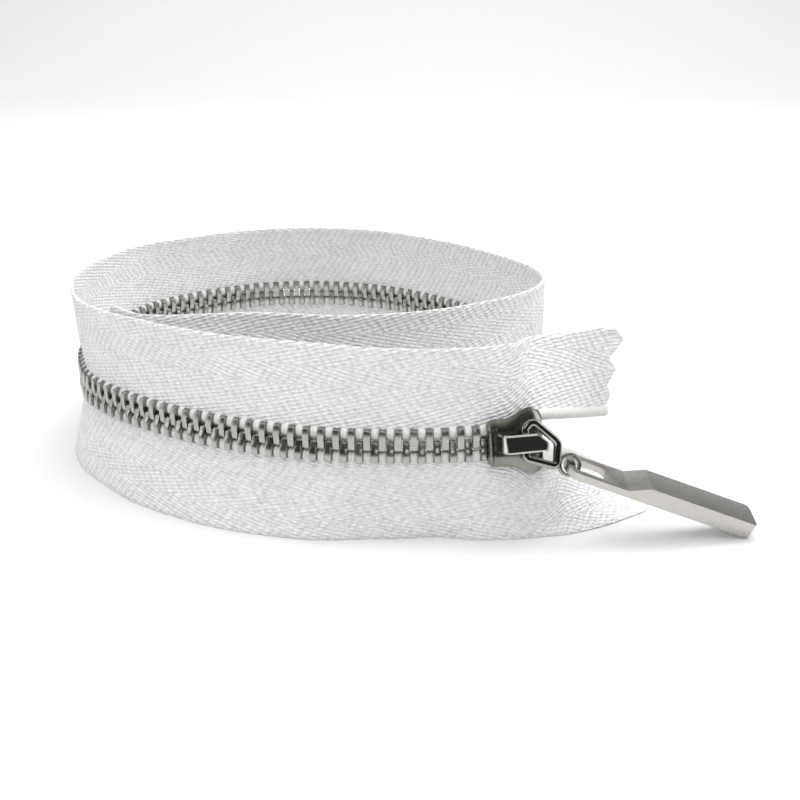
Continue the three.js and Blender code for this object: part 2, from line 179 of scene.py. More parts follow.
def edge_pair(s, side):
    s = np.asarray(s, float)
    c, t, inward, across, out, up, low = frames(s)
    a = up if side > 0 else low
    h = (HEIGHT - c[..., 2]) if side > 0 else -c[..., 2]
    outer = np.concatenate([c[..., :2], np.zeros_like(h)[..., None]], -1) + inward * (np.tan(np.radians(a)) * h)[..., None]
    outer[..., 2] = HEIGHT if side > 0 else 0.0
    inner = at(s, np.full(s.shape, TAPE_V0), np.zeros(s.shape), side)
    return inner, outer


def world(p):
    return (np.asarray(p, float) + SHIFT) * MM


# ------------------------------------------------------------------ mesh helpers
def make(name, verts, faces, attributes=None, smooth_angle=None):
    """verts in metres, row frame."""
    me = bpy.data.meshes.new(name)
    me.from_pydata([tuple(map(float, v)) for v in verts], [], [tuple(map(int, f)) for f in faces])
    me.validate()
    me.update()
    for key, value in (attributes or {}).items():
        a = me.attributes.new(key, "FLOAT_VECTOR", "POINT")
        a.data.foreach_set("vector", np.asarray(value, np.float32).ravel())
    o = bpy.data.objects.new(name, me)
    scene.collection.objects.link(o)
    bm = bmesh.new()
    bm.from_mesh(me)
    bmesh.ops.recalc_face_normals(bm, faces=bm.faces)
    bm.to_mesh(me)
    bm.free()
    shade(o, smooth_angle)
    return o


def shade(o, angle):
    me = o.data
    if angle is None:
        me.polygons.foreach_set("use_smooth", np.ones(len(me.polygons), bool))
    else:
        me.shade_smooth() if hasattr(me, "shade_smooth") else None
        if hasattr(me, "set_sharp_from_angle"):
            me.set_sharp_from_angle(angle=math.radians(angle))
    me.update()


def grid_faces(n, m, close_m=False, close_n=False):
    """Faces over an n by m array of vertices, row-major."""
    f = []
    for i in range(n if close_n else n - 1):
        for j in range(m if close_m else m - 1):
            i2, j2 = (i + 1) % n, (j + 1) % m
            f.append((i * m + j, i2 * m + j, i2 * m + j2, i * m + j2))
    return f


def loft(name, rings, closed_ends=True, attributes=None, smooth_angle=None, close_n=False):
    """rings: n by m by 3, each ring closed."""
    r = np.asarray(rings, float)
    n, m = r.shape[:2]
    faces = grid_faces(n, m, close_m=True, close_n=close_n)
    if closed_ends and not close_n:
        faces.append(tuple(range(m))[::-1])
        faces.append(tuple(range((n - 1) * m, n * m)))
    return make(name, r.reshape(-1, 3), faces, attributes, smooth_angle)


def bevel(o, width, segments=3, angle=30, profile=0.5):
    m = o.modifiers.new("edges", "BEVEL")
    m.width = width
    m.segments = segments
    m.limit_method = "ANGLE"
    m.angle_limit = math.radians(angle)
    m.profile = profile
    m.harden_normals = False
    return m


def apply_modifiers(o):
    deps = bpy.context.evaluated_depsgraph_get()
    me = bpy.data.meshes.new_from_object(o.evaluated_get(deps))
    o.modifiers.clear()
    old = o.data
    o.data = me
    me.name = old.name
    return o


def copy_of(node, name):
    """A clean copy of a CAD node's mesh, welded and with its flat faces joined."""
    src = frame["nodes"][node]
    me = src.data.copy()
    me.name = name
    o = bpy.data.objects.new(name, me)
    scene.collection.objects.link(o)
    o.matrix_world = src.matrix_world.copy()
    bm = bmesh.new()
    bm.from_mesh(me)
    bmesh.ops.remove_doubles(bm, verts=bm.verts, dist=2e-5)
    bmesh.ops.dissolve_limit(bm, angle_limit=math.radians(1.5), verts=bm.verts, edges=bm.edges)
    bm.to_mesh(me)
    bm.free()
    me.materials.clear()
    return o


# ------------------------------------------------------------------ node helpers
class Net:
    def __init__(self, name):
        self.mat = bpy.data.materials.new(name)
        self.mat.use_nodes = True
        self.t = self.mat.node_tree
        self.t.nodes.clear()
        self.out = self.t.nodes.new("ShaderNodeOutputMaterial")
        self.bsdf = self.t.nodes.new("ShaderNodeBsdfPrincipled")
        self.t.links.new(self.bsdf.outputs[0], self.out.inputs[0])

    def new(self, kind, **values):
        n = self.t.nodes.new(kind)
        for k, v in values.items():
            setattr(n, k, v)
        return n

    def set(self, socket, value):
        if isinstance(value, bpy.types.NodeSocket):
            self.t.links.new(value, socket)
        else:
            socket.default_value = value

    def math(self, op, a, b=0.0, c=0.0, clamp=False):
        n = self.new("ShaderNodeMath", operation=op, use_clamp=clamp)
        self.set(n.inputs[0], a)
        self.set(n.inputs[1], b)
        self.set(n.inputs[2], c)
        return n.outputs[0]

    def attribute(self, name):
        n = self.new("ShaderNodeAttribute", attribute_name=name)
        s = self.new("ShaderNodeSeparateXYZ")
        self.t.links.new(n.outputs["Vector"], s.inputs[0])
        return n.outputs["Vector"], s.outputs[0], s.outputs[1], s.outputs[2]

    def noise(self, vector, scale, detail=3.0, rough=0.5, distort=0.0):
        n = self.new("ShaderNodeTexNoise")
        if vector is not None:
            self.t.links.new(vector, n.inputs["Vector"])
        n.inputs["Scale"].default_value = scale
        n.inputs["Detail"].default_value = detail
        n.inputs["Roughness"].default_value = rough
        n.inputs["Distortion"].default_value = distort
        return n.outputs["Fac"]

    def ramp(self, value, stops):
        n = self.new("ShaderNodeValToRGB")
        self.t.links.new(value, n.inputs[0])
        while len(n.color_ramp.elements) < len(stops):
            n.color_ramp.elements.new(0.5)
        for e, (p, c) in zip(n.color_ramp.elements, stops):
            e.position = p
            e.color = (*c, 1) if len(c) == 3 else c
        return n.outputs[0]

    def map(self, value, a, b, c, d):
        n = self.new("ShaderNodeMapRange")
        n.clamp = True
        self.t.links.new(value, n.inputs[0])
        for k, x in zip((1, 2, 3, 4), (a, b, c, d)):
            n.inputs[k].default_value = x
        return n.outputs[0]

    def bump(self, height, distance, strength=1.0, normal=None):
        n = self.new("ShaderNodeBump")
        n.inputs["Strength"].default_value = strength
        n.inputs["Distance"].default_value = distance
        self.t.links.new(height, n.inputs["Height"])
        if normal is not None:
            self.t.links.new(normal, n.inputs["Normal"])
        return n.outputs[0]


def woven(name, white, ridge_depth, flip):
    """Cotton twill tape: herringbone diagonals in three bands, made of short nearly lengthwise floats. The attribute sv
    holds millimetres along the tape and across it."""
    m = Net(name)
    vec, S, V, _ = m.attribute("sv")
    wob = m.math("MULTIPLY_ADD", m.noise(vec, 0.35, 2.0, 0.5), 0.7, -0.35)
    jog = m.math("MULTIPLY_ADD", m.noise(vec, 1.1, 2.0, 0.6), 0.5, -0.25)
    b1, b2 = 9.7, 13.0
    over1 = m.math("MAXIMUM", m.math("SUBTRACT", V, b1), 0.0)
    over2 = m.math("MAXIMUM", m.math("SUBTRACT", V, b2), 0.0)
    fold = m.math("ADD", m.math("SUBTRACT", V, m.math("MULTIPLY", over1, 2.0)), m.math("MULTIPLY", over2, 2.0))
    sign = m.math("ADD", m.math("SUBTRACT", 1.0, m.math("MULTIPLY", m.math("GREATER_THAN", V, b1), 2.0)),
                  m.math("MULTIPLY", m.math("GREATER_THAN", V, b2), 2.0))
    phase = m.math("ADD", m.math("SUBTRACT", S, m.math("MULTIPLY", fold, 0.72 * flip)), wob)
    p = m.math("MULTIPLY", phase, 2 * math.pi / 1.62)
    ridge = m.math("MULTIPLY_ADD", m.math("SINE", p), 0.5, 0.5)
    # floats: thin rows, nearly along the tape, each cut into strokes by the diagonal
    row = m.math("ADD", m.math("ADD", V, m.math("MULTIPLY", m.math("MULTIPLY", S, sign), 0.24 * flip)), jog)
    rows = m.math("MULTIPLY_ADD", m.math("SINE", m.math("MULTIPLY", row, 2 * math.pi / 0.66)), 0.5, 0.5)
    stroke = m.math("MULTIPLY", rows, m.math("MULTIPLY_ADD", ridge, 0.65, 0.35))
    fuzz = m.noise(vec, 2.2, 3.0, 0.6)
    speck = m.noise(vec, 1.3, 2.0, 0.5)
    big = m.noise(vec, 0.45, 2.0, 0.6)
    h = m.math("MULTIPLY", ridge, 0.26)
    h = m.math("ADD", h, m.math("MULTIPLY", stroke, 0.62))
    h = m.math("ADD", h, m.math("MULTIPLY", speck, 0.8))
    h = m.math("ADD", h, m.math("MULTIPLY", m.math("SUBTRACT", fuzz, 0.3), 0.9))
    tone = m.math("ADD", m.math("MULTIPLY", h, 0.5), m.math("MULTIPLY", big, 0.3))
    colour = m.ramp(tone, [(0.38, tuple(c * 0.76 for c in white)), (0.60, tuple(c * 0.93 for c in white)), (0.82, tuple(min(0.97, c * 1.05) for c in white))])
    m.t.links.new(colour, m.bsdf.inputs["Base Color"])
    m.t.links.new(m.map(tone, 0.1, 0.9, 0.88, 0.62), m.bsdf.inputs["Roughness"])
    m.bsdf.inputs["Specular IOR Level"].default_value = 0.35
    m.bsdf.inputs["Sheen Weight"].default_value = 0.25
    m.bsdf.inputs["Sheen Roughness"].default_value = 0.5
    m.t.links.new(m.bump(h, ridge_depth * MM, 1.0), m.bsdf.inputs["Normal"])
    return m.mat


def corded(name, white, first):
    """The bead: a core wrapped by stitches, which show as slanted ribs; painted shade darkens it where a tooth leaves
    it.
    first is the place of the first tooth along the tape."""
    m = Net(name)
    vec, S, V, A = m.attribute("sv")
    p = m.math("MULTIPLY", m.math("ADD", S, m.math("MULTIPLY", A, 0.16)), 2 * math.pi / 0.63)
    rib = m.math("MULTIPLY_ADD", m.math("SINE", p), 0.5, 0.5)
    fuzz = m.noise(vec, 3.0, 4.0, 0.6)
    h = m.math("ADD", m.math("MULTIPLY", rib, 0.6), m.math("MULTIPLY", fuzz, 0.6))
    # painted shade: the cord is darkened near the middle of each tooth, where the tooth grips it
    cell = m.math("FRACT", m.math("MULTIPLY_ADD", S, 1 / PITCH, 200.5 - first / PITCH))
    gap = m.math("MULTIPLY", m.math("ABSOLUTE", m.math("SUBTRACT", cell, 0.5)), PITCH)
    # past the last tooth the cord gets no painted shade
    clear = m.math("MAXIMUM", m.map(gap, 0.56, 0.86, 0.20, 1.0), m.math("LESS_THAN", S, first - 0.75))
    clean = m.ramp(m.math("MULTIPLY", h, 0.75), [(0.1, tuple(c * 0.78 for c in white)), (0.5, tuple(c * 0.94 for c in white)), (0.9, white)])
    mix = m.new("ShaderNodeMix", data_type="RGBA", blend_type="MULTIPLY")
    mix.inputs["Factor"].default_value = 1.0
    m.t.links.new(clean, mix.inputs[6])
    # the painted shade as a grey that multiplies the rib colour
    painted_tooth_shade = m.new("ShaderNodeCombineColor")
    for k in range(3):
        m.t.links.new(clear, painted_tooth_shade.inputs[k])
    m.t.links.new(painted_tooth_shade.outputs[0], mix.inputs[7])
    m.t.links.new(mix.outputs[2], m.bsdf.inputs["Base Color"])
    m.t.links.new(m.map(h, 0.0, 1.2, 0.85, 0.6), m.bsdf.inputs["Roughness"])
    m.bsdf.inputs["Sheen Weight"].default_value = 0.2
    m.t.links.new(m.bump(h, 0.11 * MM, 1.0), m.bsdf.inputs["Normal"])
    return m.mat


def metal(name, colour, rough, grain=0.0, grain_axis="X", spots=0.06, tint=0.9, coat=0.0):
    """Plated metal: light handling marks in the gloss, and a directional grain where it is brushed."""
    m = Net(name)
    tc = m.new("ShaderNodeTexCoord")
    mp = m.new("ShaderNodeMapping")
    m.t.links.new(tc.outputs["Object"], mp.inputs[0])
    mp.inputs["Scale"].default_value = (1000, 1000, 1000)
    v = mp.outputs[0]
    cloud = m.noise(v, 0.35, 3.0, 0.6)
    fine = m.noise(v, 6.0, 3.0, 0.7)
    colour2 = tuple(c * tint for c in colour)
    m.t.links.new(m.ramp(m.math("ADD", m.math("MULTIPLY", cloud, 0.7), m.math("MULTIPLY", fine, 0.3)),
                         [(0.3, colour2), (0.65, colour)]), m.bsdf.inputs["Base Color"])
    r = m.math("ADD", m.map(cloud, 0.3, 0.7, rough * 0.8, rough * 1.25), m.math("MULTIPLY", fine, spots))
    m.t.links.new(r, m.bsdf.inputs["Roughness"])
    m.bsdf.inputs["Metallic"].default_value = 1.0
    if coat:
        m.bsdf.inputs["Coat Weight"].default_value = coat
    if grain:
        g = m.new("ShaderNodeMapping")
        m.t.links.new(tc.outputs["Object"], g.inputs[0])
        sc = {"X": (60, 2600, 2600), "Y": (2600, 60, 2600), "Z": (2600, 2600, 60)}[grain_axis]
        g.inputs["Scale"].default_value = sc
        lines = m.noise(g.outputs[0], 1.0, 2.0, 0.5)
        h = m.math("ADD", m.math("MULTIPLY", lines, 0.7), m.math("MULTIPLY", fine, 0.3))
        m.t.links.new(m.bump(h, grain * MM, 0.6), m.bsdf.inputs["Normal"])
    else:
        m.t.links.new(m.bump(fine, 0.006 * MM, 0.5), m.bsdf.inputs["Normal"])
    return m.mat


WHITE = (0.90, 0.90, 0.896)
tape_mat = {1: woven("tape_weave_upper", WHITE, 0.31, 1.0), -1: woven("tape_weave_lower", WHITE, 0.31, 1.0)}
bead_mat = {1: corded("bead_cord_upper", (0.76, 0.76, 0.74), 1.71), -1: corded("bead_cord_lower", (0.76, 0.76, 0.74), 0.44)}
teeth_mat = metal("teeth_nickel_silver", (0.45, 0.45, 0.42), 0.22, spots=0.10, tint=0.82)
slider_mat = metal("slider_polished_nickel", (0.27, 0.265, 0.235), 0.20, grain=0.004, grain_axis="Y", spots=0.10, tint=0.72)
crown_mat = metal("crown_polished_nickel", (0.68, 0.67, 0.64), 0.07, spots=0.04, tint=0.88)
ring_mat = metal("ring_polished_nickel", (0.38, 0.375, 0.35), 0.09, spots=0.05, tint=0.84)
pull_mat = metal("pull_satin_nickel", (0.53, 0.515, 0.48), 0.25, grain=0.004, grain_axis="X", spots=0.04, tint=0.95)
lock_mat = metal("lock_plain_nickel", (0.6, 0.59, 0.56), 0.3, spots=0.1)

# ------------------------------------------------------------------ tapes
THICK = 0.56


def zigzag(q, end):
    """How far the pinked cut stands out, in mm, at q from the bead (0) to the outer edge (1)."""
    pts = {"top": ([0, 0.16, 0.27, 0.48, 0.60, 0.83, 1.0], [0.0, 0.7, -0.3, 1.35, -0.4, 2.3, 0.2]),
           "low": ([0, 0.18, 0.34, 0.5, 0.66, 0.82, 1.0], [0.2, 1.4, -0.4, 1.5, -0.4, 1.6, 0.0])}[end]
    return np.interp(q, *pts)


def tape_grid(s0, s1, side, free, step, end_cut, rows=27):
    """Stations from the cut end to s1: inner (bead) and outer edge, and mm along the tape."""
    n = max(2, int(round((s1 - s0) / step)) + 1)
    s = np.linspace(s0, s1, n)
    inner, outer = edge_pair(s, side)
    along = s.copy()
    if free:
        ends = UPPER_END if side > 0 else LOWER_END
        ctrl_i = [np.array(p[0], float) for p in ends[::-1]] + [inner[0], inner[min(3, n - 1)]]
        ctrl_o = [np.array(p[1], float) for p in ends[::-1]] + [outer[0], outer[min(3, n - 1)]]
        k = len(ctrl_i) - 1
        # the spline through the free stations, up to the last of them before the loop's own curve
        us = np.linspace(0, (k - 1) / k, int(6 * (k - 1)) + 1)[:-1]
        gi = np.array([catmull(ctrl_i, u) for u in us])
        go = np.array([catmull(ctrl_o, u) for u in us])
        mid = np.concatenate([(gi + go) / 2, [(inner[0] + outer[0]) / 2]])
        d = np.linalg.norm(np.diff(mid, axis=0), axis=1)
        back = s0 - np.cumsum(d[::-1])[::-1]
        inner, outer = np.concatenate([gi, inner]), np.concatenate([go, outer])
        along = np.concatenate([back, along])
    q = np.linspace(0, 1, rows)
    P = inner[:, None] * (1 - q)[None, :, None] + outer[:, None] * q[None, :, None]
    # surface normal by differences
    ds = np.gradient(P, axis=0)
    dq = np.gradient(P, axis=1)
    if end_cut in ("start", "both"):
        t = ds[0] / np.linalg.norm(ds[0], axis=-1, keepdims=True)
        P[0] -= t * zigzag(q, "top" if free else "low")[:, None]
    if end_cut in ("end", "both"):
        t = ds[-1] / np.linalg.norm(ds[-1], axis=-1, keepdims=True)
        P[-1] += t * (zigzag(q, "low") - 0.6)[:, None]
    N = np.cross(ds, dq)
    N /= np.linalg.norm(N, axis=-1, keepdims=True)
    if side < 0:
        N = -N
    width = np.linalg.norm(outer - inner, axis=-1)
    V = TAPE_V0 + q[None, :] * width[:, None]
    S = np.repeat(along[:, None], rows, 1)
    return P, N, S, V, q


def tape(name, s0, s1, side, free, end_cut, step=1.0):
    rows = 27
    P, N, S, V, q = tape_grid(s0, s1, side, free, step, end_cut, rows)
    n = P.shape[0]
    # a slight unevenness, and a firmer rolled selvage on the outer edge
    th = THICK * (1 - 0.1 * np.cos(q * math.pi)) / 2
    th = np.where(q > 0.93, th * 1.25, th)
    th[-1] *= 0.55
    wave = 0.10 * np.sin(S / 9.3 + V / 6.0) * smooth(q / 0.3)[None] + 0.06 * np.sin(S / 3.7 - V / 3.1) * smooth(q / 0.5)[None]
    if side < 0:
        wave = wave * (1 - smooth((q - 0.8) / 0.2))[None]
    M = P + N * wave[..., None]
    F = M + N * th[None, :, None]
    B = M - N * th[None, :, None]
    F[..., 2] = np.maximum(F[..., 2], 0.01)
    B[..., 2] = np.maximum(B[..., 2], 0.01)
    z = lambda a: np.stack([S, V, np.full_like(S, a)], -1)
    verts = np.concatenate([F.reshape(-1, 3), B.reshape(-1, 3)])
    attr = np.concatenate([z(1).reshape(-1, 3), z(-1).reshape(-1, 3)])
    k = n * rows
    faces = [f for f in grid_faces(n, rows)] + [tuple(i + k for i in f[::-1]) for f in grid_faces(n, rows)]
    ring = [(i, 0) for i in range(n)] + [(n - 1, j) for j in range(1, rows)] + [(i, rows - 1) for i in range(n - 2, -1, -1)] + [(0, j) for j in range(rows - 2, 0, -1)]
    idx = [i * rows + j for i, j in ring]
    for a, b in zip(idx, idx[1:] + idx[:1]):
        faces.append((b, a, a + k, b + k))
    o = make(name, world(verts), faces, {"sv": attr}, smooth_angle=50)
    o.data.materials.append(tape_mat[side])
    lengths = np.linalg.norm(np.diff(M, axis=0), axis=-1).sum(0)
    width = float(np.linalg.norm(np.diff(M, axis=1), axis=-1).sum(1).mean())
    return o, (width * MM, float(lengths.mean()) * MM)


def bead(name, s0, s1, side, free, step=0.42):
    n = max(2, int(round((s1 - s0) / step)) + 1)
    s = np.linspace(s0, s1, n)
    c = at(s, np.full(n, 2.0), np.zeros(n), side)
    _, _, _, across, out, _, _ = frames(s)
    along = s.copy()
    if free:
        ends = UPPER_END if side > 0 else LOWER_END
        ctrl = [np.array(p[0], float) - (np.array(p[1], float) - np.array(p[0], float)) / np.linalg.norm(np.array(p[1], float) - np.array(p[0], float)) * 0.9
                for p in ends[::-1]] + [c[0], c[min(8, n - 1)]]
        k = len(ctrl) - 1
        us = np.linspace(0, (k - 1) / k, int(13 * (k - 1)) + 1)[:-1]
        g = np.array([catmull(ctrl, u) for u in us])
        a_i = [np.array(p[1], float) - np.array(p[0], float) for p in ends[::-1]]
        a_i = [a / np.linalg.norm(a) * side for a in a_i] + [across[0]]
        fr = np.linspace(0, len(a_i) - 1, len(us) + 1)[:-1]
        ga = np.array([a_i[int(x)] * (1 - (x % 1)) + a_i[min(int(x) + 1, len(a_i) - 1)] * (x % 1) for x in fr])
        ga /= np.linalg.norm(ga, axis=-1, keepdims=True)
        cc = np.concatenate([g, c])
        tt = np.gradient(cc, axis=0)
        tt /= np.linalg.norm(tt, axis=-1, keepdims=True)
        d = np.linalg.norm(np.diff(cc[:len(g) + 1], axis=0), axis=1)
        along = np.concatenate([s0 - np.cumsum(d[::-1])[::-1], along])
        c = cc
        across = np.concatenate([ga, across])
        o2 = np.cross(tt, across)
        o2 /= np.linalg.norm(o2, axis=-1, keepdims=True)
        flip = np.sign((o2[-1] * out[-1]).sum())
        out = o2 * flip
    m = 16
    ang = np.linspace(0, 2 * math.pi, m, endpoint=False)
    ra, rw = 0.98, 0.9
    swell = 1 + 0.045 * np.sin(along * 2 * math.pi / 0.85)[:, None]
    rings = c[:, None] + across[:, None] * (np.cos(ang)[None, :, None] * ra * swell[..., None] * side) + out[:, None] * (np.sin(ang)[None, :, None] * rw * swell[..., None])
    attr = np.stack([np.repeat(along[:, None], m, 1), np.repeat(ang[None] * 0.9, len(c), 0), np.repeat(ang[None], len(c), 0)], -1)
    o = loft(name, world(rings), attributes={"sv": attr.reshape(-1, 3)})
    o.data.materials.append(bead_mat[side])
    return o


# ------------------------------------------------------------------ teeth
def tooth_mesh():
    """One tooth in (along, across, through), mm: two legs round the bead, a waist, and a head with a nib on one side
    and a hollow on the other."""
    prof = [(2.86, 1.1), (2.7, 1.4), (1.9, 1.5), (0.75, 1.47), (0.5, 1.3), (0.1, 1.22), (-0.5, 1.12), (-0.8, 0.8),
            (-0.8, -0.8), (-0.5, -1.12), (0.1, -1.22), (0.5, -1.3), (0.75, -1.47), (1.9, -1.5), (2.7, -1.4), (2.86, -1.1),
            (2.8, -0.85), (1.6, -0.82), (1.15, -0.45), (1.15, 0.45), (1.6, 0.82), (2.8, 0.85)]
    prof = np.array(prof)
    bm = bmesh.new()
    rings = []
    for t in (-0.57, 0.57):
        k = 1.0
        rings.append([bm.verts.new((t * (0.9 if v > 2.6 else 1.0) * (0.92 if v < -0.4 else 1.0), v, w * k)) for v, w in prof])
    bm.verts.ensure_lookup_table()
    n = len(prof)
    for i in range(n):
        j = (i + 1) % n
        bm.faces.new((rings[0][i], rings[0][j], rings[1][j], rings[1][i]))
    bm.faces.new(rings[0][::-1])
    bm.faces.new(rings[1])
    bmesh.ops.recalc_face_normals(bm, faces=bm.faces)
    sharp = [e for e in bm.edges if len(e.link_faces) == 2 and e.calc_face_angle(0) > math.radians(35)]
    bmesh.ops.bevel(bm, geom=sharp, offset=0.13, segments=2, profile=0.6, affect="EDGES", clamp_overlap=True)
    bmesh.ops.triangulate(bm, faces=[f for f in bm.faces if len(f.verts) > 4])
    bm.verts.ensure_lookup_table()
    v = np.array([x.co[:] for x in bm.verts])
    f = [[x.index for x in face.verts] for face in bm.faces]
    bm.free()
    # the nib and the hollow by which neighbours lock
    for sign in (1, -1):
        e = 0.16 * np.exp(-((v[:, 1] + 0.1) ** 2 + v[:, 2] ** 2) / 0.16)
        v[:, 0] += np.where(v[:, 0] * sign > 0.5, e * (1 if sign > 0 else 1), 0)
    return v, f


TOOTH_V, TOOTH_F = tooth_mesh()


def teeth_row(name, k0, k1, side):
    verts, faces, n = [], [], len(TOOTH_V)
    for k in range(k0, k1 + 1):
        s = (1.71 if side > 0 else 0.44) + PITCH * k
        tilt = rng.normal(0, 0.018)
        dv, dw = rng.normal(0, 0.03), rng.normal(0, 0.03)
        a, v, w = TOOTH_V[:, 0], TOOTH_V[:, 1], TOOTH_V[:, 2]
        a2 = a * (1 if side > 0 else -1) + tilt * (v - 1)
        # each tooth is rigid: it takes the frame at its own middle
        c, t, inward, across, out, _, _ = frames(np.array([s]))
        sp = spread(np.array([s]))[0]
        c = c[0] + across[0] * side * sp
        # while a row is led away, its teeth turn with it
        dsp = (spread(np.array([s + 0.6]))[0] - spread(np.array([s - 0.6]))[0]) / 1.2
        tt = t[0] + across[0] * side * dsp
        tt /= np.linalg.norm(tt)
        ac = np.cross(out[0], t[0])
        ac = across[0] - tt * np.dot(across[0], tt)
        ac /= np.linalg.norm(ac)
        p = c + tt * a2[:, None] + ac * (side * (v + dv))[:, None] + out[0] * (w + dw)[:, None]
        faces += [[i + len(verts) * 0 + (k - k0) * n for i in f] for f in TOOTH_F]
        verts.append(p)
    o = make(name, world(np.concatenate(verts)), faces, smooth_angle=40)
    o.data.materials.append(teeth_mat)
    return o


def names(side, a, b):
    return [f"{side}_teeth_{i:02d}" for i in range(a, b + 1)]


def top_stop(name, side):
    """A folded metal clip pressed over the bead."""
    rings = []
    prof = []
    for th in np.linspace(0, 2 * math.pi, 28, endpoint=False):
        c, s_ = math.cos(th), math.sin(th)
        prof.append((2.2 + 1.1 * math.copysign(abs(c) ** 0.6, c), 1.28 * math.copysign(abs(s_) ** 0.6, s_)))
    prof = np.array(prof)
    for s, k in ((-2.75, 0.86), (-2.62, 0.97), (-2.3, 1.0), (-1.6, 1.0), (-0.9, 1.0), (-0.58, 0.97), (-0.45, 0.86)):
        v = 2.2 + (prof[:, 0] - 2.2) * k
        c, t, inward, across, out, _, _ = frames(np.array([s]))
        rings.append(c[0] + across[0] * (side * v)[:, None] + out[0] * (prof[:, 1] * k)[:, None])
    o = loft(name, world(np.array(rings)), smooth_angle=50)
    o.data.materials.append(teeth_mat)
    return o


def bottom_stop():
    """Stands for the H-shaped clip across both beads: one rounded block lofted along the chain, with a shallow dent in
    its middle.
    """
    a, b = CHAIN_END + 0.85, CHAIN_END + 3.85
    rings = []
    prof = []
    for th in np.linspace(0, 2 * math.pi, 40, endpoint=False):
        c, s_ = math.cos(th), math.sin(th)
        prof.append((2.55 * math.copysign(abs(c) ** 0.4, c), 1.36 * math.copysign(abs(s_) ** 0.4, s_)))
    prof = np.array(prof)
    for s in np.linspace(a, b, 17):
        e = min(s - a, b - s)
        k = 1 - 0.14 * math.exp(-e / 0.12)
        dent = 0.12 * math.exp(-((s - (a + b) / 2) / 0.35) ** 2)
        c, t, inward, across, out, _, _ = frames(np.array([s]))
        w = prof[:, 1] * k * (1 - dent * np.exp(-(prof[:, 0] / 1.6) ** 2))
        rings.append(c[0] + across[0] * (prof[:, 0] * k)[:, None] + out[0] * w[:, None])
    o = loft("bottom_stop_clip", world(np.array(rings)), smooth_angle=50)
    o.data.materials.append(teeth_mat)
    return o


def s_point(s, v=0.0, side=1):
    return tuple(world(at(np.array([s]), np.array([v]), np.array([0.0]), side))[0])


JOIN = 66.04
for word, side in (("upper", 1), ("lower", -1)):
    end_body = f"{word}_stringer_end"
    o, flat = tape(f"{word}_tape_loop", SPLIT, LENGTH - 0.1, side, False, "end")
    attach(o, "chain")
    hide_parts(f"{word}_tape")
    b = bead(f"{word}_bead_loop", SPLIT, LENGTH - 0.5, side, False)
    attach(b, "chain")
    t = teeth_row(f"{word}_row_loop", END_TEETH, TEETH - 1, side)
    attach(t, "chain")
    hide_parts(*names(word, 4, 15))

    o, flat = tape(f"{word}_tape_front", -4.4, SPLIT, side, True, "start", step=0.8)
    b2 = bead(f"{word}_bead_front", -4.4, SPLIT, side, True)
    t2 = teeth_row(f"{word}_row_front", 0, END_TEETH - 1, side)
    st = top_stop(f"{word}_top_stop_clip", side)
    start, end = s_point(64.0), s_point(45.0)
    for piece in (o, b2, t2):
        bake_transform(piece)
    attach(st, end_body)
    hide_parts(f"{word}_tape_top_end")
    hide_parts(*names(word, 1, 3))
    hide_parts(f"{word}_top_stop")
bs = bottom_stop()
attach(bs, "chain")
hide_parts("bottom_stop")

# ------------------------------------------------------------------ slider
c0, t0, in0, ac0, out0, _, _ = (x[0] if hasattr(x, "shape") else x for x in frames(np.array([0.0])))
U_AX = -t0
V_AX = ac0
W_AX = np.cross(U_AX, V_AX)
ORIGIN = c0


def local(p):
    """Slider-local (u, v, w) to the row frame, in metres."""
    p = np.asarray(p, float)
    return world(ORIGIN + p[..., :1] * U_AX + p[..., 1:2] * V_AX + p[..., 2:3] * W_AX)


HALF = np.array([(-5.2, 3.3), (-4.9, 3.72), (-4.4, 3.88), (-1.9, 3.95), (-0.9, 4.25), (0.1, 4.72), (1.0, 5.2), (1.8, 5.5), (2.4, 5.55),
                 (3.3, 5.2), (3.9, 4.9), (4.2, 4.6)])
YARD = np.array([(-6.2, 3.1), (-2.1, 3.1), (0.2, 4.1), (1.7, 4.65), (5.2, 4.95)])


def shell(name, sign):
    """One blade with its two side flanges, as one smooth pressed shell."""
    us = np.concatenate([[-5.2, -5.15, -5.04, -4.88, -4.7, -4.55, -4.4, -4.28, -4.15, -4.02, -3.88], np.linspace(-3.6, 3.6, 25), [3.95, 4.12, 4.2]])
    rings = []
    for u in us:
        end = min(u + 5.2, 4.2 - u)
        r = 0.42 * (1 - smooth(end / (0.45 if u < 0 else 0.3)))            # rounding at both ends
        hv = np.interp(u, HALF[:, 0], HALF[:, 1]) - r * 0.6
        yd = min(np.interp(u, YARD[:, 0], YARD[:, 1]), hv - 0.45)
        pts = []
        vs = np.concatenate([[-1.0, -0.985, -0.95], np.linspace(-0.88, 0.88, 19), [0.95, 0.985, 1.0]])
        for x in vs:
            v = x * hv
            a = abs(v)
            w = 2.68 - 0.62 * smooth((a - 2.2) / (hv - 2.0)) - 0.25 * smooth((abs(x) - 0.9) / 0.1) - r
            # the narrow end flares towards the viewer a little, the wide end dips to the notch
            w += 0.20 * smooth((-4.0 - u) / 0.6) * (1 - 0.3 * smooth((a - 1.5) / 2)) - 0.34 * math.exp(-((u + 4.38) / 0.24) ** 2)
            w -= 0.35 * smooth((u - 2.6) / 1.6)
            uu = u - 0.55 * max(0.0, 1 - a / 1.7) * smooth((u - 2.6) / 1.6)
            pts.append((uu, v, w))
        top = pts
        right = [(u, hv - 0.02, 1.3), (u, hv - 0.06, 0.95), (u, hv - 0.2, 0.82), (u, yd + 0.12, 0.82), (u, yd, 0.95), (u, yd, 1.5)]
        ceil = [(u - 0.55 * max(0.0, 1 - abs(v) / 1.7) * smooth((u - 2.6) / 1.6), v, 1.76) for v in np.linspace(yd - 0.15, -yd + 0.15, 9)]
        left = [(a, -b, c) for a, b, c in right[::-1]]
        rings.append([(a, b, c * sign) for a, b, c in top + right + ceil + left])
    o = loft(name, local(np.array(rings)), smooth_angle=42)
    o.data.materials.append(slider_mat)
    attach(o, "slider")
    return o


